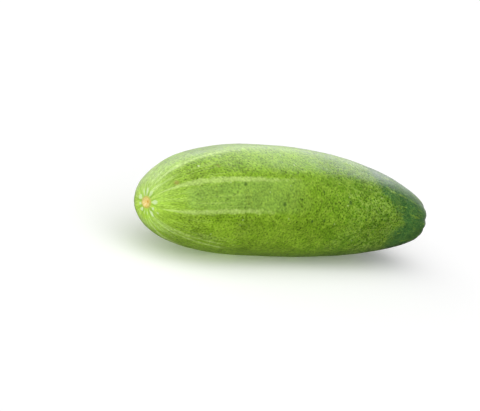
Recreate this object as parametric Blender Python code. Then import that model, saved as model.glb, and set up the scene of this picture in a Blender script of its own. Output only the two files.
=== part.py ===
"""A short, plump cucumber as picked, lying on its belly: one solid, because the fruit grew as one piece.

Frame: metres, +Z up. +X runs from the blossom end to the stem end. The origin is on the surface
that the fruit lies on, under the middle of its box. The bow of the fruit lies flat, bulging to +Y.
"""

import math

import bmesh
import bpy
from mathutils import Vector

# Overall sizes.
LENGTH = 0.165  # straight from tip to tip, before the two tips are pressed in
DIAMETER = 0.050  # at the fullest part
BOW = 0.012  # how far the middle of the spine stands off that straight line

# How the fruit narrows.
BLOSSOM_ROUNDING = 0.1  # length over which the blossom end swells to full width
BLOSSOM_BLUNTNESS = 3.4  # 2 is an ellipse, and more is blunter
STEM_ROUNDING = 0.084
STEM_BLUNTNESS = 2.2
TAPER_SHARE = 0.085  # how much slimmer the stem end would be with no rounding
TAPER_START = 0.3  # share of the length where that slimming begins

# The cross-section: three seed chambers give three soft corners, and faint ribs run end to end.
CORNER_COUNT = 3
CORNER_HEIGHT = 0.0003
RIB_COUNT = 9
RIB_HEIGHT = 0.00022

# The dry scar where the flower dropped off: a ring-shaped lip in a shallow dimple.
BLOSSOM_SCAR_DIAMETER = 0.0048
BLOSSOM_DIMPLE_DIAMETER = 0.0150
BLOSSOM_DIMPLE_DEPTH = 0.0014
BLOSSOM_SCAR_HEIGHT = 0.0003

# The broken stalk: a stub on the floor of a wider dimple.
STEM_STUB_DIAMETER = 0.0080
STEM_DIMPLE_DIAMETER = 0.0210
STEM_DIMPLE_DEPTH = 0.0036
STEM_STUB_HEIGHT = 0.0005

# The belly gives a little under the fruit's weight, so it lies on a narrow flat.
BELLY_FLAT_DEPTH = 0.0004

# Mesh fineness.
SEGMENTS = 48  # faces round the fruit
RINGS = 58  # rings from end to end
END_CROWDING = 0.62  # 0 spaces the rings evenly, and towards 1 they crowd at both ends

SKIN_COLOUR = (0.21, 0.40, 0.06, 1.0)  # linear
SKIN_ROUGHNESS = 0.42


def swell(share, bluntness):
    """A rounded end: 0 at its tip, rising to 1 where share reaches 1."""
    inside = min(max(share, 0.0), 1.0)
    return math.sqrt(1.0 - (1.0 - inside) ** bluntness)


def body_radius(along):
    """Mean radius at a distance from the blossom end: two rounded ends and a slight taper."""
    late = max((along / LENGTH - TAPER_START) / (1.0 - TAPER_START), 0.0)
    return (
        DIAMETER
        / 2
        * swell(along / BLOSSOM_ROUNDING, BLOSSOM_BLUNTNESS)
        * swell((LENGTH - along) / STEM_ROUNDING, STEM_BLUNTNESS)
        * (1.0 - TAPER_SHARE * late**1.5)
    )


def bump(distance, reach):
    """A smooth hump: 1 in the middle, 0 from the distance called reach."""
    inside = min(distance / reach, 1.0)
    return (1.0 - inside**2) ** 2


def plateau(distance, reach):
    """A flat-topped hump, for a stub or a scar: 1 over most of it, 0 from reach."""
    inside = min(distance / reach, 1.0)
    return (1.0 - inside**6) ** 2


def blossom_dip(radius):
    """How far the blossom end is pressed in, at a distance from its middle."""
    dimple = BLOSSOM_DIMPLE_DEPTH * bump(radius, BLOSSOM_DIMPLE_DIAMETER / 2)
    return dimple - BLOSSOM_SCAR_HEIGHT * plateau(radius, BLOSSOM_SCAR_DIAMETER / 2)


def stem_dip(radius):
    """How far the stem end is pressed in, at a distance from its middle."""
    dimple = STEM_DIMPLE_DEPTH * bump(radius, STEM_DIMPLE_DIAMETER / 2)
    return dimple - STEM_STUB_HEIGHT * plateau(radius, STEM_STUB_DIAMETER / 2)


def section_radius(along, angle):
    """Radius in one direction: the mean radius with its soft corners and ribs, both gone at the ends."""
    mean = body_radius(along)
    fullness = mean / (DIAMETER / 2)
    corners = CORNER_HEIGHT * math.cos(CORNER_COUNT * (angle - math.pi / 2))
    ribs = RIB_HEIGHT * math.cos(RIB_COUNT * (angle - math.pi / 2))
    return mean + (corners + ribs) * fullness**2


def spine(along):
    """Centre of the section, and the spine's direction there: a parabola lying flat."""
    share = 2.0 * along / LENGTH - 1.0
    centre = Vector((along, BOW * (1.0 - share**2), 0.0))
    direction = Vector((1.0, -4.0 * BOW * share / LENGTH, 0.0)).normalized()
    return centre, direction


def ring(along):
    """The points of one section, anticlockwise seen from the stem end, starting at the side."""
    centre, direction = spine(along)
    up = Vector((0.0, 0.0, 1.0))
    side = direction.cross(up)
    points = []
    for step in range(SEGMENTS):
        angle = 2.0 * math.pi * step / SEGMENTS
        radius = section_radius(along, angle)
        from_stem = (LENGTH - along) < LENGTH / 2
        press = -stem_dip(radius) if from_stem else blossom_dip(radius)
        outward = side * math.cos(angle) + up * math.sin(angle)
        points.append(centre + outward * radius + direction * press)
    return points


def stations():
    """Distances of the rings from the blossom end, crowded towards both ends, without the tips."""
    found = []
    for step in range(1, RINGS):
        even = step / RINGS
        eased = even - END_CROWDING * math.sin(2.0 * math.pi * even) / (2.0 * math.pi)
        found.append(LENGTH * (0.5 - 0.5 * math.cos(math.pi * eased)))
    return found


def tip(along, press):
    """The middle point of an end, pressed in along the spine."""
    centre, direction = spine(along)
    return centre + direction * press


def close_end(bm, ring_verts, middle, outwards):
    """Joins an end ring to its middle point with a fan of triangles."""
    middle_vert = bm.verts.new(middle)
    for index, vert in enumerate(ring_verts):
        following = ring_verts[(index + 1) % SEGMENTS]
        corners = (middle_vert, following, vert)
        bm.faces.new(corners if outwards else corners[::-1])


def lay_on_belly(bm):
    """Cuts the flat of the belly, and sets the origin under the middle of the box."""
    lowest = min(vert.co.z for vert in bm.verts)
    cut = bmesh.ops.bisect_plane(
        bm,
        geom=bm.verts[:] + bm.edges[:] + bm.faces[:],
        dist=1e-6,
        plane_co=(0.0, 0.0, lowest + BELLY_FLAT_DEPTH),
        plane_no=(0.0, 0.0, -1.0),
        clear_outer=True,
    )
    rim = [item for item in cut["geom_cut"] if isinstance(item, bmesh.types.BMEdge)]
    bmesh.ops.contextual_create(bm, geom=rim)
    places = [vert.co for vert in bm.verts]
    middle = Vector(
        (
            (min(p.x for p in places) + max(p.x for p in places)) / 2,
            (min(p.y for p in places) + max(p.y for p in places)) / 2,
            min(p.z for p in places),
        )
    )
    bmesh.ops.translate(bm, verts=bm.verts[:], vec=-middle)


def skin_material():
    """Waxy green skin."""
    material = bpy.data.materials.new("cucumber_skin")
    material.use_nodes = True
    shader = material.node_tree.nodes["Principled BSDF"]
    shader.inputs["Base Color"].default_value = SKIN_COLOUR
    shader.inputs["Roughness"].default_value = SKIN_ROUGHNESS
    shader.inputs["Metallic"].default_value = 0.0
    return material


def make_cucumber():
    """Skins the rings, closes both ends and lays the fruit on its belly."""
    bm = bmesh.new()
    rings = [[bm.verts.new(point) for point in ring(along)] for along in stations()]
    for near, far in zip(rings, rings[1:]):
        for index in range(SEGMENTS):
            following = (index + 1) % SEGMENTS
            bm.faces.new((near[index], near[following], far[following], far[index]))
    close_end(bm, rings[0], tip(0.0, blossom_dip(0.0)), outwards=True)
    close_end(bm, rings[-1], tip(LENGTH, -stem_dip(0.0)), outwards=False)
    bmesh.ops.recalc_face_normals(bm, faces=bm.faces[:])
    lay_on_belly(bm)

    mesh = bpy.data.meshes.new("cucumber")
    bm.to_mesh(mesh)
    bm.free()
    mesh.shade_smooth()
    mesh.materials.append(skin_material())
    fruit = bpy.data.objects.new("cucumber", mesh)
    bpy.context.scene.collection.objects.link(fruit)
    return fruit


def main():
    for leftover in list(bpy.data.objects):
        bpy.data.objects.remove(leftover)
    make_cucumber()


main()
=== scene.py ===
"""A short, plump cucumber lying on a pale floor, as one continuous skin.

The skin is a grid worked out with numpy. One way of the grid runs along the fruit from the blossom end
to the stem end, the other runs round it. Its colours and fine relief come from nodes that read the grid
through a UV map and a few attributes. Lengths are in metres. Directions round the fruit are in degrees:
0 is the side that faces -Y, and 90 is the top.
"""

import math
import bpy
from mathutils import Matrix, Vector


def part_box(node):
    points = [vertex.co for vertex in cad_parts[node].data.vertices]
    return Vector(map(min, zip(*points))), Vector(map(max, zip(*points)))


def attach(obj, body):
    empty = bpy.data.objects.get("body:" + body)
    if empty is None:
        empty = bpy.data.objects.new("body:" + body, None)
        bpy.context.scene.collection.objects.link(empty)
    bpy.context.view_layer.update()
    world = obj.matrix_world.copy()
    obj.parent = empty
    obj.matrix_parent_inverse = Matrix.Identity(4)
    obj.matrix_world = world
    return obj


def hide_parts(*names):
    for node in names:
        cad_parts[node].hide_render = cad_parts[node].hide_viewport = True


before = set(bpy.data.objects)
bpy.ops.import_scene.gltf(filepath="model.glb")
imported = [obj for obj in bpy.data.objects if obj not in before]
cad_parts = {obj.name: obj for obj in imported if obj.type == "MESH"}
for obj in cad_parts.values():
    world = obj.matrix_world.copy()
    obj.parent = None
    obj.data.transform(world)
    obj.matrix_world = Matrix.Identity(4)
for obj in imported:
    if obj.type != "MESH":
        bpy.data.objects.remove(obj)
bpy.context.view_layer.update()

from types import SimpleNamespace

import bpy
import numpy as np
from mathutils import Matrix, Vector

# The body, with the sizes of the solid that it replaces.
LENGTH = 0.165  # straight from tip to tip, before the two tips are pressed in
DIAMETER = 0.050
BOW = 0.012
BLOSSOM_ROUNDING = 0.1
BLOSSOM_BLUNTNESS = 3.4
STEM_ROUNDING = 0.084
STEM_BLUNTNESS = 2.2
TAPER_SHARE = 0.085
TAPER_START = 0.3
CORNER_COUNT = 3
CORNER_HEIGHT = 0.0003
RIB_COUNT = 9
RIB_HEIGHT = 0.00022
BLOSSOM_DIMPLE_RADIUS = 0.0075
BLOSSOM_DIMPLE_DEPTH = 0.0014
STEM_DIMPLE_RADIUS = 0.0105
STEM_DIMPLE_DEPTH = 0.0036

# The flower scar: a ring-shaped lip round a pit with a small core set off to one side.
SCAR_RADIUS = 0.00232
SCAR_LIP_RADIUS = 0.00178
SCAR_LIP_WIDTH = 0.00042
SCAR_LIP_HEIGHT = 0.00034
SCAR_LIP_LOBES = ((0.26, 3, 1.0), (0.20, 7, 0.0))  # see ripple()
SCAR_PIT_DEPTH = 0.00030
SCAR_CORE_RADIUS = 0.00062
SCAR_CORE_HEIGHT = 0.00026
SCAR_CORE_SHIFT = 0.0008
SCAR_CORE_DEGREES = 45

# Pale patches round the flower scar: direction, distance out, half length, half width, how pale.
PATCHES = (
    (25, 0.0041, 0.0017, 0.00090, 0.75),
    (52, 0.0042, 0.0010, 0.00040, 0.35),
    (-13, 0.0041, 0.0007, 0.00065, 0.85),
    (-15, 0.0066, 0.0007, 0.00045, 0.50),
    (-38, 0.0049, 0.0017, 0.00060, 0.75),
    (-63, 0.0043, 0.0011, 0.00045, 0.45),
    (-83, 0.0042, 0.0010, 0.00050, 0.45),
    (-108, 0.0036, 0.0009, 0.00075, 0.85),
    (-148, 0.0031, 0.0008, 0.00065, 0.75),
    (170, 0.0037, 0.0010, 0.00100, 1.00),
    (129, 0.0042, 0.0018, 0.00042, 0.65),
    (108, 0.0043, 0.0020, 0.00050, 0.75),
    (80, 0.0042, 0.0015, 0.00080, 0.60),
)
# Painted sheen: a pale cast on one side round the flower scar, by its direction and reach.
PAINTED_SHEEN_DEGREES = 125
PAINTED_SHEEN_REACH = 0.0185
PAINTED_SHEEN_FULL_SHARE = 0.35  # share of its reach out to which it is full
PATCH_RISE = 0.00010
PATCH_WIDENING = 0.55  # share by which a patch is wider at its outer end than in its middle
FOLD_DEPTH = 0.00016
FOLD_REACH = 0.0088
FOLD_FADE = 0.0042
FOLD_HALF_WIDTH = 0.00030
FOLD_WIDENING = 0.03  # a fold is this much wider for each unit of radius
FOLD_FULL_GAP = math.radians(20.0)  # a gap this wide between patches has a full fold

# Pale strokes that start round the flower scar and run up the sides.
STROKE_COUNT = 32
STROKE_SEED = 5
STROKE_DEGREES = (74.0, 325.0)
STROKE_STRAY_DEGREES = 3.0
STROKE_SWING_DEGREES = 7.0
STROKE_STARTS = (0.0004, 0.0026)
STROKE_LENGTHS = (0.004, 0.016)
STROKE_STRENGTHS = (0.3, 1.0)
STROKE_RISE = 0.0015
STROKE_HALF_WIDTH = 0.00034
STROKE_WIDTH_SHARES = (0.7, 1.6)
STROKE_FIRST_WIDTH = 0.75  # share of its width that a stroke has at the scar
STROKE_WIDENING = 0.014  # over this much of radius it gains its whole width again

# The stalk scar: torn fibres on a low stub, and pleats that run into it.
STUB_RADIUS = 0.0040
STUB_HEIGHT = 0.0005
STUB_HOLLOW_DEPTH = 0.0004
STUB_LOBES = ((0.07, 5, 0.0), (0.05, 11, 1.0))
FIBRE_COUNT = 15
FIBRE_HEIGHT = 0.00028
PLEAT_COUNT = 10
PLEAT_DEPTH = 0.00055
PLEAT_REACH = 0.0145
PLEAT_LOBES = ((0.9, 2, 0.4), (0.5, 3, 1.3))

# The pale streaks: direction, how far it swings aside at the blossom end, where it ends, strength and
# half width.
STREAKS = (
    (-38, -6, 0.052, 0.60, 0.00062),
    (-29, -6, 0.046, 0.65, 0.00068),
    (12.5, -6, 0.061, 0.90, 0.00120),
    (46, 10, 0.071, 0.95, 0.00125),
    (88.5, 3, 0.054, 0.60, 0.00110),
    (133, 4, 0.060, 0.90, 0.00125),
    (171, 0, 0.048, 0.70, 0.00125),
    (212, -4, 0.066, 0.95, 0.00125),
    (251, 3, 0.052, 0.60, 0.00125),
    (289, 4, 0.060, 0.90, 0.00125),
)
STREAK_SWING_LENGTH = 0.020
STREAK_WANDER = 0.00045
STREAK_WANDER_LENGTH = 0.011
STREAK_WAVER = 0.14  # share by which its width comes and goes
STREAK_WAVER_LENGTH = 0.0041
STREAK_FIRST_WIDTH = 0.30  # share of its width that it starts with
STREAK_WIDENS = (0.0035, 0.0130)  # distances from the blossom end between which it reaches full width
STREAK_RISES = (0.0010, 0.0045)  # distances between which it reaches full strength
STREAK_FADE = 0.86  # share of its strength that it loses between the next two shares of its length
STREAK_FADES = (0.45, 1.15)
STREAK_ENDS = (1.2, 1.7)  # shares of its length between which the rest goes
STREAK_DEPTH = 0.00006

# How waxy the skin is between each streak and the next, in the same order.
GAP_BLOOMS = (0.0, 0.05, 1.0, 0.0, 0.45, 0.10, 0.90, 0.20, 0.75, 0.15)
BLOOM_EDGE_DEGREES = 3.0
BLOOM_STARTS = (0.0080, 0.0140)
BLOOM_ENDS = (0.052, 0.088)

# Where the middle's yellowish net gives way to the dark stem end.
DUSK_START = 0.128
DUSK_END = 0.154
DUSK_LEAN = 0.021  # how much further towards the blossom end it reaches on top than underneath
DUSK_LEAN_DEGREES = 92
DUSK_LEAN_UNDER = 0.12
DUSK_RAGGEDNESS = 0.0050

# Single dark spots, pale specks and tan blemishes: distance along, direction, radius and strength.
DARK_SPOTS = (
    (0.0385, 42, 0.0011, 0.90),
    (0.0605, 21, 0.0013, 0.85),
    (0.1030, 28, 0.0013, 0.95),
    (0.0795, 5, 0.0010, 0.90),
    (0.0860, 36, 0.0009, 0.70),
    (0.0870, 7, 0.0009, 0.80),
    (0.0770, 19, 0.0008, 0.55),
    (0.1150, 11, 0.0010, 0.80),
)
PALE_SPECKS = (
    (0.0084, 64, 0.0004, 0.6),
    (0.0200, 75, 0.0006, 0.8),
    (0.0300, 84, 0.0006, 0.5),
    (0.0520, 33, 0.0005, 0.7),
    (0.0710, 64, 0.0006, 0.8),
)
TAN_BLEMISHES = (
    (0.0084, 62, 0.0011, 1.0),
    (0.0285, 68, 0.0012, 0.6),
    (0.0910, 200, 0.0014, 0.8),
    (0.0440, 250, 0.0011, 0.7),
)

# Low warts, each a darker spot, scattered where the spots above aren't.
WART_COUNT = 90
WART_SEED = 11
WART_DRAWS = 6
WART_SHARES = (0.07, 0.93)  # the part of the length that has warts
WART_HEIGHT = 0.00016
WART_RADIUS = 0.0009
WART_SIZES = (0.6, 1.2)  # as shares of that radius
WART_STRENGTHS = (0.25, 0.8)

# Grid fineness.
SEGMENTS = 256
RINGS = 382
END_CROWDING = 0.5
SKIN_LENGTH = 0.182  # from tip to tip along the skin, for patterns that run with it
MAP_MARGIN = 0.004

# Slow unevenness of the skin, and raggedness of the edges of its colours: size, wave length and seed.
SWELLS = ((0.00012, 0.030, 3), (0.00005, 0.011, 4))
RAGS = ((0.7, 0.022, 7), (0.5, 0.007, 8))

# Where the skin's colour changes along the fruit, as shares of its length, with linear colours.
SKIN_STOPS = (
    (0.0, (0.400, 0.575, 0.095)),
    (0.025, (0.335, 0.520, 0.050)),
    (0.05, (0.280, 0.475, 0.030)),
    (0.09, (0.250, 0.440, 0.024)),
    (0.18, (0.205, 0.385, 0.013)),
    (0.45, (0.200, 0.385, 0.014)),
    (0.65, (0.094, 0.235, 0.006)),
    (0.80, (0.068, 0.178, 0.008)),
    (1.0, (0.050, 0.140, 0.008)),
)
BLOOM_GREEN = (0.250, 0.430, 0.062)
STREAK_GREEN = (0.43, 0.61, 0.140)
NET_GREEN = (0.31, 0.47, 0.045)
LACE_GREEN = (0.31, 0.47, 0.085)
DUSK_GREEN = (0.038, 0.135, 0.030)
SPOT_GREEN = (0.060, 0.130, 0.016)
SPECK_GREEN = (0.62, 0.74, 0.42)
TAN = (0.30, 0.29, 0.05)
STROKE_GREEN = (0.47, 0.62, 0.24)
# Painted sheen on one side of the blossom end.
PAINTED_SHEEN_GREEN = (0.42, 0.55, 0.22)
PATCH_GREEN = (0.47, 0.61, 0.29)
# Painted shade: the darker green in the grooves round the flower scar.
FOLD_SHADE_GREEN = (0.20, 0.38, 0.025)
SCAR_TAN = (0.62, 0.45, 0.09)
# Cream on the flower scar: its pale tissue and painted highlight.
SCAR_CREAM_AND_HIGHLIGHT = (0.74, 0.64, 0.34)
RIM_BROWN = (0.44, 0.36, 0.06)
CORE_ORANGE = (0.52, 0.29, 0.02)
STALK_TAN = (0.50, 0.50, 0.15)
# Painted shade: near-black green in the pleats round the stalk scar.
PLEAT_SHADE_GREEN = (0.012, 0.035, 0.008)

# The skin's patterns, as features to the metre.
WIDE_SCALE = 55.0
MOTTLE_SCALE = 120.0
FLECK_SCALE = 170.0
BLOTCH_SCALE = 230.0
LACE_DRIFT_SCALE = 300.0
LACE_SCALE = 400.0
NET_DRIFT_SCALE = 420.0
SQUIGGLE_SCALE = 520.0
DASH_SCALE = 520.0
SPECKLE_SCALE = 620.0
NET_SCALE = 780.0
LINE_SCALE = 800.0
HAIR_SCALE = 900.0
GRAIN_SCALE = 1050.0
NET_DRIFT = 0.0018  # how far the net is pushed about, so that its cells aren't even
LACE_DRIFT = 0.0030

# How much of each colour goes on where its pattern is full.
BLOOM_AMOUNT = 0.85
NET_AMOUNT = 0.52
SQUIGGLE_AMOUNT = 0.40
DASH_AMOUNT = 0.45
LACE_AMOUNT = 0.55
HAIR_AMOUNT = 0.30
STREAK_AMOUNT = 0.88
WART_AMOUNT = 0.55
FLECK_AMOUNT = 0.45
# painted shade in the grooves round the flower scar
FOLD_SHADE_AMOUNT = 0.70
RIM_AMOUNT = 0.95
# painted shade in the pleats round the stalk scar
PLEAT_SHADE_AMOUNT = 0.60

# How strongly each pattern lightens and darkens the colour.
GRAIN_SHADE = 0.90
SPECKLE_SHADE = 0.36
BLOTCH_SHADE = 0.36
WIDE_SHADE = 0.55
MOTTLE_SHADE = 0.45
DOT_SHADE = 0.40
LINE_SHADE = 0.70

# The surface itself.
SKIN_ROUGHNESS = 0.36
SKIN_IOR = 1.45
SKIN_SPECULAR = 0.3
SKIN_SHEEN = 0.04
SKIN_SHEEN_ROUGHNESS = 0.45
BUMP_STRENGTH = 0.24
BUMP_DISTANCE = 0.0003

# The camera: where it stands and looks, seen from the middle of the fruit.
VIEW_YAW = math.radians(-42.95)
VIEW_ELEVATION = math.radians(17.17)
VIEW_ROLL = math.radians(19.32)
VIEW_DISTANCE = 0.5809
AIM_RIGHT = -0.0168
AIM_UP = -0.0085
LENS_MM = 97.5
SENSOR_MM = 36.0
CLIP_END = 30.0

# The softboxes: rim and side light the skin, sheen and edge give it nothing but gloss.
LIGHT_DISTANCE = 1.1
RIM_WATTS = 0.4
SHEEN_WATTS = 19.5
EDGE_WATTS = 6.0
SIDE_WATTS = 0.7

# The sky: its strength above and below the horizon, and what four soft lobes take away or add.
SKY_ABOVE = 1.00
SKY_BELOW = 0.12
SKY_HORIZON = (-0.25, 0.15)
DIM = 0.96  # share taken away above and behind the fruit
SHADE = 1.0  # share taken away below it and to the right
FILL = 1.35  # added from below and the left
FRONT = 1.18  # added from the viewer's side

# The floor.
FLOOR_HALF_SIZE = 10.0
FLOOR_WHITE = 0.97
FLOOR_ROUGHNESS = 0.9
FLOOR_GLOW = 0.08


# ---------------------------------------------------------------- the skin's shape


def swell(share, bluntness):
    """A rounded end: sqrt(1 - (1 - share) ** bluntness), 0 at its tip and 1 where share reaches 1."""
    inside = np.clip(share, 0.0, 1.0)
    return np.sqrt(1.0 - (1.0 - inside) ** bluntness)


def body_radius(along):
    """Mean radius: half the diameter times two rounded ends, times a taper that grows as late ** 1.5."""
    late = np.clip((along / LENGTH - TAPER_START) / (1.0 - TAPER_START), 0.0, 1.0)
    return (
        DIAMETER
        / 2
        * swell(along / BLOSSOM_ROUNDING, BLOSSOM_BLUNTNESS)
        * swell((LENGTH - along) / STEM_ROUNDING, STEM_BLUNTNESS)
        * (1.0 - TAPER_SHARE * late**1.5)
    )


def hump(distance, reach):
    """(1 - (distance / reach) ** 2) ** 2 inside reach, 0 outside it."""
    inside = np.clip(np.abs(distance) / reach, 0.0, 1.0)
    return (1.0 - inside**2) ** 2


def plateau(distance, reach):
    """(1 - (distance / reach) ** 6) ** 2 inside reach: flat on top with a soft edge."""
    inside = np.clip(distance / reach, 0.0, 1.0)
    return (1.0 - inside**6) ** 2


def ridge(distance, width):
    """A round ridge: exp(-(distance / width) ** 2)."""
    return np.exp(-((distance / width) ** 2))


def fade(value, start, end):
    """Rises smoothly from 0 at start to 1 at end, as 3 t ** 2 - 2 t ** 3; start may be above end."""
    share = np.clip((value - start) / (end - start), 0.0, 1.0)
    return share * share * (3.0 - 2.0 * share)


def waves(points, length, seed, count=24):
    """Smooth noise of about -1 to 1: the mean of plane waves of that length in seeded directions."""
    random = np.random.default_rng(seed)
    directions = random.normal(size=(count, 3))
    directions /= np.linalg.norm(directions, axis=1)[:, None]
    directions *= random.uniform(0.6, 1.4, (count, 1)) * 2.0 * math.pi / length
    phases = random.uniform(0.0, 2.0 * math.pi, count)
    return np.cos(points @ directions.T + phases).sum(axis=-1) * math.sqrt(2.0 / count) / 1.6


def layered(points, layers):
    """Waves of several lengths on top of each other: size * waves(points, length, seed) for each layer."""
    return sum(size * waves(points, length, seed) for size, length, seed in layers)


def ripple(angle, lobes):
    """The sum of size * sin(count * angle + turn) for each lobe, which is a size, a count and a turn."""
    return sum(size * np.sin(count * angle + turn) for size, count, turn in lobes)


def turned(angle, degrees):
    """The angle measured from a direction, from -pi to pi."""
    return (angle - math.radians(degrees) + math.pi) % (2.0 * math.pi) - math.pi


def stations():
    """Distances of the rings from the blossom end: straight, and as shares of the way along the skin.

    They are even in distance along the skin, eased by share - crowding * sin(2 pi share) / (2 pi) so
    that they crowd at both ends.
    """
    fine = LENGTH * (0.5 - 0.5 * np.cos(np.linspace(0.0, math.pi, 20001)))
    steps = np.hypot(np.diff(fine), np.diff(body_radius(fine)))
    walked = np.concatenate(([0.0], np.cumsum(steps)))
    even = np.linspace(0.0, 1.0, RINGS + 2)[1:-1]
    eased = even - END_CROWDING * np.sin(2.0 * math.pi * even) / (2.0 * math.pi)
    return np.interp(eased * walked[-1], walked, fine), eased


def grid():
    """The grid as arrays of rings by segments: along, angle, share of the way along the skin, radius."""
    along, walked = stations()
    angle = np.arange(SEGMENTS) * 2.0 * math.pi / SEGMENTS
    along, angle = np.meshgrid(along, angle, indexing="ij")
    walked = np.broadcast_to(walked[:, None], along.shape)
    return along, angle, walked, body_radius(along)


def spine(along):
    """The spine is a parabola lying flat: y = BOW * (1 - share ** 2). Returns its centre and direction."""
    share = 2.0 * along / LENGTH - 1.0
    zero = np.zeros_like(along)
    centre = np.stack((along, BOW * (1.0 - share**2), zero), axis=-1)
    direction = np.stack((zero + 1.0, -4.0 * BOW * share / LENGTH, zero), axis=-1)
    return centre, direction / np.linalg.norm(direction, axis=-1, keepdims=True)


def plain_body(along, angle, mean):
    """The solid's shape: a round section with soft corners and ribs, and both tips pressed in."""
    centre, direction = spine(along)
    up = np.array((0.0, 0.0, 1.0))
    side = np.cross(direction, up)
    fullness = mean / (DIAMETER / 2)
    corners = CORNER_HEIGHT * np.cos(CORNER_COUNT * (angle - math.pi / 2))
    ribs = RIB_HEIGHT * np.cos(RIB_COUNT * (angle - math.pi / 2))
    radius = mean + (corners + ribs) * fullness**2
    blossom_press = BLOSSOM_DIMPLE_DEPTH * hump(radius, BLOSSOM_DIMPLE_RADIUS)
    stem_press = STEM_DIMPLE_DEPTH * hump(radius, STEM_DIMPLE_RADIUS)
    press = np.where(along < LENGTH / 2, blossom_press, -stem_press)
    outward = side * np.cos(angle)[..., None] + up * np.sin(angle)[..., None]
    return centre + outward * radius[..., None] + direction * press[..., None]


def normals_of(points):
    """Unit normals of the grid, from the cross product of its two directions."""
    onward = np.gradient(points, axis=0)
    round_it = np.roll(points, -1, axis=1) - np.roll(points, 1, axis=1)
    normal = np.cross(onward, round_it)
    return normal / np.linalg.norm(normal, axis=-1, keepdims=True)


# ---------------------------------------------------------------- marks on the skin


def streaks(along, angle, mean):
    """The pale streaks: round ridges across, that rise past the flower scar and fade out one by one.

    Each swings aside towards the blossom end by its swing times exp(-along / STREAK_SWING_LENGTH).
    """
    found = np.zeros_like(along)
    for index, (degrees, swing, end, strength, half_width) in enumerate(STREAKS):
        aside = math.radians(swing) * np.exp(-along / STREAK_SWING_LENGTH)
        wander = STREAK_WANDER * np.sin(along / STREAK_WANDER_LENGTH + 2.1 * index)
        off = (turned(angle, degrees) - aside) * mean - wander
        width = half_width * (1.0 + STREAK_WAVER * np.sin(along / STREAK_WAVER_LENGTH + index))
        width = width * (STREAK_FIRST_WIDTH + (1.0 - STREAK_FIRST_WIDTH) * fade(along, *STREAK_WIDENS))
        rise = fade(along, *STREAK_RISES)
        fall = 1.0 - STREAK_FADE * fade(along / end, *STREAK_FADES)
        last = 1.0 - fade(along / end, *STREAK_ENDS)
        found = np.maximum(found, strength * ridge(off, width) * rise * fall * last)
    return found


def bloom(along, angle, ragged):
    """Waxy bloom between the streaks: each gap's own value, with soft ends and a ragged far edge."""
    places = [degrees % 360.0 for degrees, *_ in STREAKS]
    order = np.argsort(places)
    known_at, known = [], []
    for index in order:
        before, after = GAP_BLOOMS[index - 1], GAP_BLOOMS[index]
        known_at += [places[index] - BLOOM_EDGE_DEGREES, places[index] + BLOOM_EDGE_DEGREES]
        known += [before, after]
    gaps = np.interp(np.degrees(angle), known_at, known, period=360.0)
    near_end = fade(along + 0.0015 * ragged, *BLOOM_STARTS)
    far_end = 1.0 - fade(along + 0.0060 * ragged, *BLOOM_ENDS)
    return gaps * near_end * far_end


def dusk(along, angle, ragged):
    """How far the skin has turned to the dark green of the stem end, with a ragged edge.

    The edge leans by DUSK_LEAN times the larger of cos(angle) and DUSK_LEAN_UNDER, to the power of 1.5,
    with the angle measured from DUSK_LEAN_DEGREES.
    """
    height = np.maximum(np.cos(angle - math.radians(DUSK_LEAN_DEGREES)), DUSK_LEAN_UNDER)
    return fade(along + DUSK_LEAN * height**1.5 + DUSK_RAGGEDNESS * ragged, DUSK_START, DUSK_END)


def marks(along, angle, mean, places):
    """Small round marks, strength * exp(-(distance / radius) ** 2) about each place."""
    found = np.zeros_like(along)
    for place, degrees, radius, strength in places:
        distance = np.hypot(along - place, turned(angle, degrees) * mean)
        found = np.maximum(found, strength * ridge(distance, radius))
    return found


def wart_places():
    """Seeded places of the warts, spread evenly: each is the loneliest of a few draws."""
    random = np.random.default_rng(WART_SEED)
    around = math.pi * DIAMETER
    first, last = WART_SHARES
    chosen = [(place, degrees / 360.0 * around % around) for place, degrees, _, _ in DARK_SPOTS]
    while len(chosen) < WART_COUNT:
        draws = random.uniform((first * LENGTH, 0.0), (last * LENGTH, around), (WART_DRAWS, 2))
        gaps = np.abs(draws[:, None] - np.array(chosen)[None])
        gaps[..., 1] = np.minimum(gaps[..., 1], around - gaps[..., 1])
        lonely = np.linalg.norm(gaps, axis=-1).min(axis=1).argmax()
        chosen.append(tuple(draws[lonely]))
    sizes = random.uniform(*WART_SIZES, WART_COUNT)
    strengths = random.uniform(*WART_STRENGTHS, WART_COUNT)
    scattered = chosen[len(DARK_SPOTS) :]
    return [
        (place, off / around * 360.0, WART_RADIUS * size, strength)
        for (place, off), size, strength in zip(scattered, sizes, strengths)
    ]


def strokes(along, angle, mean):
    """Thin pale strokes of seeded place, length and strength, as round ridges with faded ends."""
    random = np.random.default_rng(STROKE_SEED)
    found = np.zeros_like(along)
    for way in np.linspace(*STROKE_DEGREES, STROKE_COUNT):
        degrees = way + random.uniform(-STROKE_STRAY_DEGREES, STROKE_STRAY_DEGREES)
        start = random.uniform(*STROKE_STARTS)
        end = start + random.uniform(*STROKE_LENGTHS)
        strength = random.uniform(*STROKE_STRENGTHS)
        width = STROKE_HALF_WIDTH * random.uniform(*STROKE_WIDTH_SHARES)
        swing = random.uniform(-STROKE_SWING_DEGREES, STROKE_SWING_DEGREES)
        across = (turned(angle, degrees) - math.radians(swing) * along / end) * mean
        width = width * (STROKE_FIRST_WIDTH + mean / STROKE_WIDENING)
        ends = fade(along, start, start + STROKE_RISE) * fade(along, end, 0.5 * (start + end))
        found = np.maximum(found, strength * ends * ridge(across, width))
    return found


def frost(angle, radius):
    """Painted sheen: a pale cast round the flower scar, strongest on one side and gone by the shoulder."""
    side = 0.5 + 0.5 * np.cos(turned(angle, PAINTED_SHEEN_DEGREES))
    return side**2 * fade(radius, PAINTED_SHEEN_REACH, PAINTED_SHEEN_FULL_SHARE * PAINTED_SHEEN_REACH)


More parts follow.
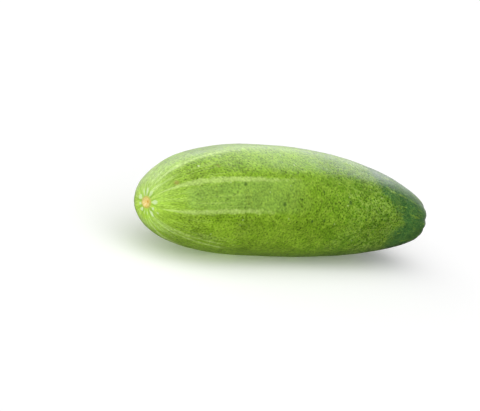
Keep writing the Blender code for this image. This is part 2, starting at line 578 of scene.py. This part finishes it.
def patches(angle, radius):
    """Pale patches round the flower scar: ellipses with soft edges, drawn out along the radius."""
    found = np.zeros_like(radius)
    for degrees, distance, half_length, half_width, strength in PATCHES:
        outward = (radius - distance) / half_length
        width = half_width * (1.0 + PATCH_WIDENING * np.clip(outward, -1.0, 1.0))
        across = turned(angle, degrees) * radius / width
        found = np.maximum(found, strength * fade(outward**2 + across**2, 1.60, 0.20))
    return found


def folds(angle, radius):
    """Grooves from the flower scar outwards, one between each patch and the next: 1 in a groove."""
    ways = sorted(math.radians(degrees) % (2.0 * math.pi) for degrees, *_ in PATCHES)
    found = np.zeros_like(radius)
    for here, following in zip(ways, ways[1:] + ways[:1]):
        gap = (following - here) % (2.0 * math.pi)
        across = turned(angle, math.degrees(here + gap / 2)) * radius
        deep = min(gap / FOLD_FULL_GAP, 1.0)
        found = np.maximum(found, deep * ridge(across, FOLD_HALF_WIDTH + FOLD_WIDENING * radius))
    clear_of_scar = fade(radius, 0.98 * SCAR_RADIUS, 1.25 * SCAR_RADIUS)
    return found * clear_of_scar * fade(radius, FOLD_REACH, FOLD_FADE)


def core_distance(angle, radius):
    """Distance from the middle of the flower scar's core, which sits to one side."""
    way = math.radians(SCAR_CORE_DEGREES)
    across = radius * np.cos(angle) - SCAR_CORE_SHIFT * math.cos(way)
    upward = radius * np.sin(angle) - SCAR_CORE_SHIFT * math.sin(way)
    return np.hypot(across, upward)


def flower_scar_relief(angle, radius):
    """Lip, pit and core by distance from the middle, and the patches and folds round them."""
    uneven = 1.0 + ripple(angle, SCAR_LIP_LOBES)
    lip = SCAR_LIP_HEIGHT * uneven * ridge(radius - SCAR_LIP_RADIUS, SCAR_LIP_WIDTH)
    pit = SCAR_PIT_DEPTH * plateau(radius, SCAR_LIP_RADIUS)
    core = SCAR_CORE_HEIGHT * hump(core_distance(angle, radius), 2.0 * SCAR_CORE_RADIUS)
    return lip - pit + core + PATCH_RISE * patches(angle, radius) - FOLD_DEPTH * folds(angle, radius)


def pleats(angle, radius):
    """Folds round the stalk scar, uneven in depth: 1 in a fold, 0 between."""
    wobble = ripple(angle, PLEAT_LOBES) + 70.0 * radius
    fold = (0.5 + 0.5 * np.cos(PLEAT_COUNT * angle + wobble)) ** 2
    return fold * (0.55 + 0.45 * np.sin(angle + 0.8))


def stalk_scar_relief(angle, radius):
    """A ragged stub with ridges of torn fibre, and the pleats round it."""
    ragged = STUB_RADIUS * (1.0 + ripple(angle, STUB_LOBES))
    stub = STUB_HEIGHT * plateau(radius, ragged)
    ring = hump(radius - 0.6 * STUB_RADIUS, 0.5 * STUB_RADIUS)
    fibres = FIBRE_HEIGHT * np.cos(FIBRE_COUNT * angle + 900.0 * radius) * ring
    hollow = STUB_HOLLOW_DEPTH * hump(radius, 0.45 * STUB_RADIUS)
    near = fade(radius, 0.8 * STUB_RADIUS, 1.35 * STUB_RADIUS)
    window = near * fade(radius, PLEAT_REACH, 1.3 * STUB_RADIUS)
    return stub + fibres - hollow - PLEAT_DEPTH * pleats(angle, radius) * window


def skin_surface():
    """The finished points of the grid, and what the material needs to know at each of them."""
    along, angle, walked, mean = grid()
    body = plain_body(along, angle, mean)
    ragged = layered(body, RAGS)
    at_blossom = along < LENGTH / 2
    streak = streaks(along, angle, mean)
    wart = marks(along, angle, mean, wart_places())
    spot = marks(along, angle, mean, DARK_SPOTS)
    unevenness = layered(body, SWELLS) * fade(mean, 0.004, 0.012)
    ends = np.where(at_blossom, flower_scar_relief(angle, mean), stalk_scar_relief(angle, mean))
    relief = unevenness + ends + WART_HEIGHT * np.maximum(wart, spot) - STREAK_DEPTH * streak
    points = body + normals_of(body) * relief[..., None]

    cad_low, cad_high = (np.array(corner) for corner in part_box("cucumber"))
    low, high = body.reshape(-1, 3).min(axis=0), body.reshape(-1, 3).max(axis=0)
    shift = (cad_low + cad_high - low - high) / 2
    shift[2] = cad_high[2] - high[2]
    points = points + shift
    points[..., 2] = np.maximum(points[..., 2], cad_low[2])

    stub_edge = fade(mean, 1.12 * STUB_RADIUS, 0.86 * STUB_RADIUS)
    # painted shade for the pleats round the stalk scar
    pleat = pleats(angle, mean) * fade(mean, PLEAT_REACH, 1.4 * STUB_RADIUS)
    knows = {
        "streak": streak,
        "bloom": bloom(along, angle, ragged),
        "dusk": dusk(along, angle, ragged),
        "wart": wart,
        "spot": spot,
        "speck": marks(along, angle, mean, PALE_SPECKS),
        "blemish": marks(along, angle, mean, TAN_BLEMISHES),
        "flower_scar": np.where(at_blossom, plateau(mean, SCAR_RADIUS * 1.05), 0.0),
        "flower_core": np.where(at_blossom, ridge(core_distance(angle, mean), SCAR_CORE_RADIUS), 0.0),
        "scar_rim": np.where(at_blossom, ridge(mean - 0.94 * SCAR_RADIUS, 0.13 * SCAR_RADIUS), 0.0),
        "stroke": strokes(along, angle, mean),
        # painted sheen on one side of the blossom end
        "frost": np.where(at_blossom, frost(angle, mean), 0.0),
        "patch": np.where(at_blossom, patches(angle, mean), 0.0),
        # painted shade in the grooves round the flower scar
        "fold": np.where(at_blossom, folds(angle, mean), 0.0),
        "blossom_near": np.where(at_blossom, fade(mean, 0.017, 0.005), 0.0),
        "stalk_scar": np.where(at_blossom, 0.0, stub_edge),
        "pleat": np.where(at_blossom, 0.0, pleat),
    }
    return points, angle, walked, knows


# ---------------------------------------------------------------- the mesh


def grid_faces(rings, segments):
    """Quads of a grid that closes round itself, as indices, with their outer sides out."""
    ring = np.arange(rings - 1)[:, None] * segments
    here = np.arange(segments)[None, :]
    following = (here + 1) % segments
    corners = (ring + here, ring + segments + here, ring + segments + following, ring + following)
    return np.stack(corners, axis=-1).reshape(-1, 4)


def fan_faces(pole, ring_start, segments, outwards):
    """Triangles from one end ring to its pole."""
    here = np.arange(segments)
    following = (here + 1) % segments
    pair = (here, following) if outwards else (following, here)
    pole_column = np.full(segments, pole)
    return np.stack((pole_column, ring_start + pair[0], ring_start + pair[1]), axis=-1)


def map_corners(walked, segments):
    """The corners of all faces on a flat map: across is round the fruit, up is along it."""
    around = np.arange(segments + 1) / segments
    left, low = np.meshgrid(around[:-1], walked[:-1])
    right, high = np.meshgrid(around[1:], walked[1:])
    quads = np.stack((left, low, left, high, right, high, right, low), axis=-1).reshape(-1, 2)
    middle = (around[:-1] + around[1:]) / 2
    bottom = np.zeros(segments)
    first = walked[0] + bottom
    last = walked[-1] + bottom
    top = 1.0 + bottom
    near_fan = np.stack((middle, bottom, around[:-1], first, around[1:], first), axis=-1)
    far_fan = np.stack((middle, top, around[1:], last, around[:-1], last), axis=-1)
    return np.concatenate((quads, near_fan.reshape(-1, 2), far_fan.reshape(-1, 2)))


def mesh_of(name, points, quads, triangles):
    """A smooth-shaded mesh from arrays of points, four-cornered faces and three-cornered faces."""
    corners = np.concatenate((quads.reshape(-1), triangles.reshape(-1)))
    sizes = np.concatenate((np.full(len(quads), 4), np.full(len(triangles), 3)))
    starts = np.concatenate(([0], np.cumsum(sizes)[:-1]))
    mesh = bpy.data.meshes.new(name)
    mesh.vertices.add(len(points))
    mesh.vertices.foreach_set("co", points.astype(np.float32).reshape(-1))
    mesh.loops.add(len(corners))
    mesh.loops.foreach_set("vertex_index", corners.astype(np.int32))
    mesh.polygons.add(len(sizes))
    mesh.polygons.foreach_set("loop_start", starts.astype(np.int32))
    mesh.update(calc_edges=True)
    mesh.validate()
    mesh.shade_smooth()
    return mesh


def with_poles(values):
    """A grid's values as one list, with the two poles' values, the mean of their rings, at its end."""
    flat = values.reshape(values.shape[0] * values.shape[1], *values.shape[2:])
    poles = np.stack((values[0].mean(axis=0), values[-1].mean(axis=0)))
    return np.concatenate((flat, poles))


def make_cucumber():
    """The skin as one closed mesh, with its map, its attributes and its material."""
    points, angle, walked, knows = skin_surface()
    rings, segments = angle.shape
    near_pole = rings * segments
    last_ring = near_pole - segments
    near_fan = fan_faces(near_pole, 0, segments, True)
    far_fan = fan_faces(near_pole + 1, last_ring, segments, False)
    triangles = np.concatenate((near_fan, far_fan))
    mesh = mesh_of("cucumber_whole", with_poles(points), grid_faces(rings, segments), triangles)

    corners = map_corners(walked[:, 0], segments)
    inset = MAP_MARGIN + corners * (1.0 - 2.0 * MAP_MARGIN)
    for name, placed in (("skin", corners), ("OFBake", inset)):
        layer = mesh.uv_layers.new(name=name)
        layer.uv.foreach_set("vector", placed.astype(np.float32).reshape(-1))

    half = DIAMETER / 2
    wrapped = np.stack((walked * SKIN_LENGTH, half * np.cos(angle), half * np.sin(angle)), axis=-1)
    flow = mesh.attributes.new("flow", "FLOAT_VECTOR", "POINT")
    flow.data.foreach_set("vector", with_poles(wrapped).astype(np.float32).reshape(-1))
    for name, values in knows.items():
        layer = mesh.attributes.new(name, "FLOAT", "POINT")
        layer.data.foreach_set("value", with_poles(values).astype(np.float32))

    mesh.materials.append(skin_material())
    fruit = bpy.data.objects.new("cucumber_whole", mesh)
    bpy.context.scene.collection.objects.link(fruit)
    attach(fruit, "root")
    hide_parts("cucumber")


# ---------------------------------------------------------------- the material


class Value:
    """A socket that arithmetic works on: each operation adds one Math node."""

    def __init__(self, nodes, socket):
        self.nodes = nodes
        self.socket = socket

    def __add__(self, other):
        return self.nodes.math("ADD", self, other)

    def __radd__(self, other):
        return self.nodes.math("ADD", other, self)

    def __sub__(self, other):
        return self.nodes.math("SUBTRACT", self, other)

    def __rsub__(self, other):
        return self.nodes.math("SUBTRACT", other, self)

    def __mul__(self, other):
        return self.nodes.math("MULTIPLY", self, other)

    def __rmul__(self, other):
        return self.nodes.math("MULTIPLY", other, self)

    def __abs__(self):
        return self.nodes.math("ABSOLUTE", self)

    def between(self, low, high):
        """0 below low, 1 above high, smooth in between; low may be above high."""
        sockets = {"Value": self, "From Min": low, "From Max": high}
        made = self.nodes.node("ShaderNodeMapRange", {"interpolation_type": "SMOOTHSTEP"}, sockets)
        return Value(self.nodes, made.outputs["Result"])


class Nodes:
    """One node tree in the making. node() is the only place where a node is added."""

    def __init__(self, tree):
        self.tree = tree

    def node(self, kind, settings=None, sockets=None):
        """Adds a node: its settings first, a ramp's stops among them, then its sockets."""
        made = self.tree.nodes.new(kind)
        for name, value in (settings or {}).items():
            if name == "stops":
                set_stops(made.color_ramp.elements, value)
            else:
                setattr(made, name, value)
        for name, value in (sockets or {}).items():
            self.feed(made.inputs[name], value)
        return made

    def feed(self, socket, value):
        """Links a socket to another, or sets its number, vector or colour."""
        source = value.socket if isinstance(value, Value) else value
        if isinstance(source, bpy.types.NodeSocket):
            self.tree.links.new(source, socket)
        elif socket.type == "RGBA":
            socket.default_value = (*source, 1.0)
        else:
            socket.default_value = source

    def math(self, operation, *operands):
        made = self.node("ShaderNodeMath", {"operation": operation}, dict(enumerate(operands)))
        return Value(self, made.outputs[0])

    def known(self, name):
        """One of the mesh's own attributes, as a value."""
        return Value(self, self.node("ShaderNodeAttribute", {"attribute_name": name}).outputs["Fac"])

    def flow(self, stretch=(1.0, 1.0, 1.0)):
        """Coordinates that run with the skin, in metres, multiplied along, across and up."""
        read = self.node("ShaderNodeAttribute", {"attribute_name": "flow"})
        sockets = {0: read.outputs["Vector"], 1: stretch}
        return self.node("ShaderNodeVectorMath", {"operation": "MULTIPLY"}, sockets).outputs["Vector"]

    def moved(self, place, by, amount):
        """A place pushed about by a noise's colour, by up to the amount each way."""
        middle = self.node("ShaderNodeVectorMath", {"operation": "SUBTRACT"}, {0: by, 1: (0.5, 0.5, 0.5)})
        push = self.scaled(middle.outputs["Vector"], amount)
        moved = self.node("ShaderNodeVectorMath", {"operation": "ADD"}, {0: place, 1: push})
        return moved.outputs["Vector"]

    def scaled(self, colour, value):
        """A colour or a vector multiplied by a number."""
        made = self.node("ShaderNodeVectorMath", {"operation": "SCALE"}, {0: colour, "Scale": value})
        return made.outputs["Vector"]

    def noise(self, place, scale, detail=2.0, roughness=0.5):
        """Smooth noise about 0.5, with so many features to the metre."""
        sockets = {"Vector": place, "Scale": scale, "Detail": detail, "Roughness": roughness}
        return Value(self, self.node("ShaderNodeTexNoise", None, sockets).outputs["Fac"])

    def drift(self, place, scale):
        """Noise in three directions at once, to push places about with."""
        sockets = {"Vector": place, "Scale": scale, "Detail": 1.0}
        return self.node("ShaderNodeTexNoise", None, sockets).outputs["Color"]

    def cells(self, place, scale, feature):
        """Distance to the nearest cell's middle, or to its edge, in cells."""
        made = self.node("ShaderNodeTexVoronoi", {"feature": feature}, {"Vector": place, "Scale": scale})
        return Value(self, made.outputs["Distance"])

    def mix(self, factor, first, second):
        """A colour mixed towards a second one."""
        made = self.node("ShaderNodeMix", {"data_type": "RGBA"}, {0: factor, 6: first, 7: second})
        return made.outputs[2]


def set_stops(elements, stops):
    """Gives a colour ramp its stops, each a place from 0 to 1 and a colour."""
    while len(elements) < len(stops):
        elements.new(1.0)
    for element, (place, colour) in zip(elements, stops):
        element.position = place
        element.color = (*colour, 1.0)


def skin_patterns(skin):
    """The patterns and attributes that colour and relief are made of, by name, from 0 to about 1."""
    read = skin.node("ShaderNodeUVMap", {"uv_map": "skin"})
    parts = skin.node("ShaderNodeSeparateXYZ", None, {"Vector": read.outputs["UV"]})
    see = SimpleNamespace(share=Value(skin, parts.outputs["Y"]))
    see.near = skin.known("blossom_near")
    see.streak = skin.known("streak")
    see.bloom = skin.known("bloom")
    see.scar = skin.known("flower_scar")
    see.stalk = skin.known("stalk_scar")
    see.plain = 1.0 - see.near

    flow = skin.flow()
    see.wide = skin.noise(flow, WIDE_SCALE)
    see.mottle = skin.noise(flow, MOTTLE_SCALE, 1.0)
    see.blotch = skin.noise(skin.flow((0.85, 1.0, 1.0)), BLOTCH_SCALE, 2.0, 0.55)
    see.speckle = skin.noise(skin.flow((0.9, 1.0, 1.0)), SPECKLE_SCALE, 1.0, 0.6)
    see.grain = skin.noise(skin.flow((0.9, 1.0, 1.0)), GRAIN_SCALE, 0.0)
    see.lines = skin.noise(skin.flow((0.14, 1.0, 1.0)), LINE_SCALE, 2.0)
    see.hair = skin.noise(skin.flow((0.05, 1.0, 1.0)), HAIR_SCALE, 1.0).between(0.56, 0.68)
    see.dashes = skin.noise(skin.flow((0.28, 1.0, 1.0)), DASH_SCALE, 1.0).between(0.62, 0.70)
    see.flecks = skin.cells(flow, FLECK_SCALE, "F1").between(0.11, 0.05) * see.plain
    ragged = skin.known("dusk") + (see.blotch - 0.5) * 0.9 + (see.speckle - 0.5) * 0.6
    see.dusk = ragged.between(0.20, 0.80)

    net_place = skin.moved(flow, skin.drift(flow, NET_DRIFT_SCALE), NET_DRIFT)
    edge = skin.cells(net_place, NET_SCALE, "DISTANCE_TO_EDGE").between(0.20, 0.04)
    see.net = edge * (0.45 + see.blotch.between(0.36, 0.60) * 0.55) * see.plain
    middle = skin.cells(net_place, NET_SCALE, "F1").between(0.48, 0.14)
    see.dots = middle * (1.0 - see.streak * 0.8) * see.plain
    winding = abs(skin.noise(skin.flow((0.8, 1.0, 1.0)), SQUIGGLE_SCALE, 1.0) - 0.5)
    see.squiggle = winding.between(0.045, 0.010) * see.blotch.between(0.40, 0.54) * see.plain

    lace_place = skin.moved(flow, skin.drift(flow, LACE_DRIFT_SCALE), LACE_DRIFT)
    threads = skin.cells(lace_place, LACE_SCALE, "DISTANCE_TO_EDGE").between(0.17, 0.05)
    laced = (see.share + (see.wide - 0.5) * 0.4).between(0.58, 0.72)
    see.lace = threads * laced * see.speckle.between(0.36, 0.54)
    return see


def green_colour(skin, see):
    """The green along the fruit with bloom and stem end, then net, lace, streaks, a painted sheen near the
    blossom end and strokes.
    """
    along = see.share + (see.wide - 0.5) * 0.06
    colour = skin.node("ShaderNodeValToRGB", {"stops": SKIN_STOPS}, {"Fac": along}).outputs["Color"]
    colour = skin.mix(see.bloom * BLOOM_AMOUNT, colour, BLOOM_GREEN)
    colour = skin.mix(see.dusk, colour, DUSK_GREEN)
    colour = skin.mix(see.net * (NET_AMOUNT - see.dusk * 0.42 - see.bloom * 0.25), colour, NET_GREEN)
    colour = skin.mix(see.squiggle * (SQUIGGLE_AMOUNT - see.dusk * 0.25), colour, NET_GREEN)
    colour = skin.mix(see.dashes * see.dusk * DASH_AMOUNT, colour, NET_GREEN)
    colour = skin.mix(see.lace * (LACE_AMOUNT - see.dusk * 0.42), colour, LACE_GREEN)
    colour = skin.mix(see.hair * see.share.between(0.34, 0.16) * HAIR_AMOUNT, colour, STREAK_GREEN)
    breaks = ((see.blotch - 0.5) * 1.1 + (see.speckle - 0.5) * 0.8) * see.plain
    broken = see.streak + breaks * see.streak.between(0.02, 0.30)
    colour = skin.mix(broken.between(0.10, 0.80) * STREAK_AMOUNT, colour, STREAK_GREEN)
    # Painted sheen: a pale cast on one side of the blossom end.
    colour = skin.mix(skin.known("frost") * (0.10 + see.speckle * 0.6), colour, PAINTED_SHEEN_GREEN)
    return skin.mix(skin.known("stroke") * (0.20 + see.lines * 0.75), colour, STROKE_GREEN)


def light_and_dark(see):
    """What the colour is multiplied by: about 1, and calmer on bloom, on streaks and near the flower scar."""
    shade = (see.grain - 0.5) * GRAIN_SHADE + (see.speckle - 0.5) * SPECKLE_SHADE
    shade = shade + (see.blotch - 0.5) * BLOTCH_SHADE + (see.wide - 0.5) * WIDE_SHADE
    shade = shade + (see.mottle - 0.5) * MOTTLE_SHADE * see.plain
    shade = shade - see.dots * (DOT_SHADE - see.dusk * 0.18 - see.bloom * 0.14)
    shade = shade + (see.lines - 0.5) * see.near * LINE_SHADE
    return 1.0 + shade * (1.0 - see.bloom * 0.15 - see.streak * 0.35 - see.near * 0.15)


def marked(skin, see, colour):
    """The colour with spots, flecks and blemishes on it, then painted shade in the folds, the patches, both
    scars with a painted highlight on the flower scar, and painted shade in the pleats.
    """
    colour = skin.mix(skin.known("wart").between(0.25, 0.95) * WART_AMOUNT, colour, SPOT_GREEN)
    colour = skin.mix(skin.known("spot").between(0.18, 0.85) * (0.45 + see.speckle), colour, SPOT_GREEN)
    colour = skin.mix(see.flecks * FLECK_AMOUNT, colour, STROKE_GREEN)
    colour = skin.mix(skin.known("speck").between(0.2, 0.8), colour, SPECK_GREEN)
    colour = skin.mix(skin.known("blemish").between(0.1, 0.9) * (0.35 + see.speckle), colour, TAN)
    # Painted shade in the grooves round the flower scar.
    colour = skin.mix(skin.known("fold") * FOLD_SHADE_AMOUNT, colour, FOLD_SHADE_GREEN)
    patch = skin.known("patch")
    pale = (patch + (see.speckle - 0.5) * 0.9).between(0.25, 0.75) * patch.between(0.0, 0.25)
    colour = skin.mix(pale, colour, PATCH_GREEN)
    colour = skin.mix(see.scar, colour, SCAR_TAN)
    # Cream patches on the flower scar: pale tissue and painted highlight.
    colour = skin.mix(see.scar * see.speckle.between(0.44, 0.62), colour, SCAR_CREAM_AND_HIGHLIGHT)
    colour = skin.mix(skin.known("scar_rim") * RIM_AMOUNT, colour, RIM_BROWN)
    colour = skin.mix(skin.known("flower_core") * (0.6 + see.grain), colour, CORE_ORANGE)
    # Painted shade in the pleats round the stalk scar.
    colour = skin.mix(skin.known("pleat") * PLEAT_SHADE_AMOUNT, colour, PLEAT_SHADE_GREEN)
    return skin.mix(see.stalk * see.grain.between(0.30, 0.60), colour, STALK_TAN)


def skin_material():
    """Waxy skin: its colours, and a fine relief that is rougher on both scars."""
    material = bpy.data.materials.new("cucumber_skin")
    material.use_nodes = True
    skin = Nodes(material.node_tree)
    surface = skin.tree.nodes["Principled BSDF"]
    see = skin_patterns(skin)

    green = skin.scaled(green_colour(skin, see), light_and_dark(see))
    skin.feed(surface.inputs["Base Color"], marked(skin, see, green))

    scars = see.scar + see.stalk
    roughness = SKIN_ROUGHNESS + (see.blotch - 0.5) * 0.25 + scars * 0.3
    skin.feed(surface.inputs["Roughness"], roughness)

    height = see.grain * 0.35 + see.speckle * 0.5 + see.blotch * 0.5
    height = height + see.lines * see.near * 0.5 - see.dots * 0.25 + see.net * 0.2
    height = height + see.grain * scars * 2.0
    sockets = {"Height": height, "Strength": BUMP_STRENGTH, "Distance": BUMP_DISTANCE}
    bump = skin.node("ShaderNodeBump", None, sockets)
    skin.feed(surface.inputs["Normal"], bump.outputs["Normal"])
    surface.inputs["IOR"].default_value = SKIN_IOR
    surface.inputs["Specular IOR Level"].default_value = SKIN_SPECULAR
    surface.inputs["Sheen Weight"].default_value = SKIN_SHEEN
    surface.inputs["Sheen Roughness"].default_value = SKIN_SHEEN_ROUGHNESS
    return material


# ---------------------------------------------------------------- the stage


def make_floor():
    """A plain pale floor that the fruit lies on. It sends no light back to the fruit."""
    half = FLOOR_HALF_SIZE
    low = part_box("cucumber")[0][2]
    corners = [(-half, -half, low), (half, -half, low), (half, half, low), (-half, half, low)]
    mesh = bpy.data.meshes.new("floor")
    mesh.from_pydata(corners, [], [(0, 1, 2, 3)])
    material = bpy.data.materials.new("floor")
    material.use_nodes = True
    surface = material.node_tree.nodes["Principled BSDF"]
    surface.inputs["Base Color"].default_value = (FLOOR_WHITE, FLOOR_WHITE, FLOOR_WHITE, 1.0)
    surface.inputs["Roughness"].default_value = FLOOR_ROUGHNESS
    surface.inputs["Specular IOR Level"].default_value = 0.0
    surface.inputs["Emission Color"].default_value = (1.0, 1.0, 1.0, 1.0)
    surface.inputs["Emission Strength"].default_value = FLOOR_GLOW
    mesh.materials.append(material)
    floor = bpy.data.objects.new("floor", mesh)
    floor.visible_diffuse = False
    floor.visible_glossy = False
    bpy.context.scene.collection.objects.link(floor)


def view_basis(yaw, elevation):
    """Directions back to the viewer, to the right and up, for a level view."""
    flat = math.cos(elevation)
    back = Vector((math.sin(yaw) * flat, -math.cos(yaw) * flat, math.sin(elevation)))
    right = Vector((math.cos(yaw), math.sin(yaw), 0.0))
    return back, right, back.cross(right)


def rolled_axes():
    """The camera's own right, up and back directions, and its place."""
    middle = sum((Vector(corner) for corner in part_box("cucumber")), Vector()) / 2
    back, right, up = view_basis(VIEW_YAW, VIEW_ELEVATION)
    place = middle + back * VIEW_DISTANCE
    aim = middle + right * AIM_RIGHT + up * AIM_UP
    away = (place - aim).normalized()
    level_right = Vector((0.0, 0.0, 1.0)).cross(away).normalized()
    level_up = away.cross(level_right)
    cosine, sine = math.cos(VIEW_ROLL), math.sin(VIEW_ROLL)
    rolled_right = level_right * cosine + level_up * sine
    rolled_up = level_up * cosine - level_right * sine
    return rolled_right, rolled_up, away, place


def make_camera():
    """A long lens that looks at the blossom end, turned about its own axis."""
    right, up, back, place = rolled_axes()
    turn = Matrix((right, up, back)).transposed().to_4x4()
    data = bpy.data.cameras.new("camera")
    data.sensor_width = SENSOR_MM
    data.lens = LENS_MM
    data.clip_end = CLIP_END
    camera = bpy.data.objects.new("camera", data)
    camera.matrix_world = Matrix.Translation(place) @ turn
    bpy.context.scene.collection.objects.link(camera)
    bpy.context.scene.camera = camera


def make_softbox(name, towards, size, watts):
    """A rectangular area light in a direction from the fruit, facing it."""
    data = bpy.data.lights.new(name, "AREA")
    data.shape = "RECTANGLE"
    data.size, data.size_y = size
    data.energy = watts
    light = bpy.data.objects.new(name, data)
    direction = towards.normalized()
    turn = direction.to_track_quat("Z", "Y").to_matrix().to_4x4()
    light.matrix_world = Matrix.Translation(direction * LIGHT_DISTANCE) @ turn
    light.visible_camera = False
    bpy.context.scene.collection.objects.link(light)
    return light


def make_softboxes():
    """Four softboxes above and behind the fruit. Two of them are left out of the diffuse light."""
    right, up, back, _ = rolled_axes()
    make_softbox("rim", up * 0.74 - back * 0.55, (1.5, 0.8), RIM_WATTS)
    sheen = make_softbox("sheen", up * 0.86 - back * 0.50 + right * 0.07, (1.8, 0.9), SHEEN_WATTS)
    edge = make_softbox("edge", -back * 0.95 + up * 0.35 + right * 0.10, (2.4, 0.8), EDGE_WATTS)
    sheen.visible_diffuse = False
    edge.visible_diffuse = False
    make_softbox("side", up * 0.70 - back * 0.10 - right * 0.70, (0.9, 0.9), SIDE_WATTS)


def make_sky():
    """Soft light from all round, darker from below, with four lobes. It gives no gloss."""
    right, up, back, _ = rolled_axes()
    world = bpy.data.worlds.new("studio")
    bpy.context.scene.world = world
    world.use_nodes = True
    world.cycles_visibility.glossy = False
    sky = Nodes(world.node_tree)
    way = sky.node("ShaderNodeTexCoord").outputs["Generated"]
    parts = sky.node("ShaderNodeSeparateXYZ", None, {"Vector": way})
    height = Value(sky, parts.outputs["Z"])

    def lobe(towards, low, high):
        """A round patch of sky by the cosine from its middle: 0 up to low, 1 from high."""
        sockets = {0: way, 1: tuple(towards.normalized())}
        cosine = sky.node("ShaderNodeVectorMath", {"operation": "DOT_PRODUCT"}, sockets)
        return Value(sky, cosine.outputs["Value"]).between(low, high)

    dim = lobe(up * 0.92 - back * 0.40, 0.2, 1.0)
    shade = lobe(back * 0.10 + right * 0.60 - up * 0.78, -0.35, 0.65)
    fill = lobe(back * 0.35 - right * 0.75 - up * 0.60, 0.15, 1.0)
    front = lobe(back * 0.80 + right * 0.25 + up * 0.38, 0.2, 1.0)
    strength = SKY_BELOW + height.between(*SKY_HORIZON) * (SKY_ABOVE - SKY_BELOW)
    strength = strength * (1.0 - dim * DIM) * (1.0 - shade * SHADE)
    strength = strength + fill * FILL + front * FRONT
    sky.feed(sky.tree.nodes["Background"].inputs["Strength"], strength)
    sky.tree.nodes["Background"].inputs["Color"].default_value = (1.0, 1.0, 1.0, 1.0)


def main():
    make_camera()
    make_cucumber()
    make_floor()
    make_softboxes()
    make_sky()
    bpy.context.scene.view_settings.view_transform = "Standard"


main()
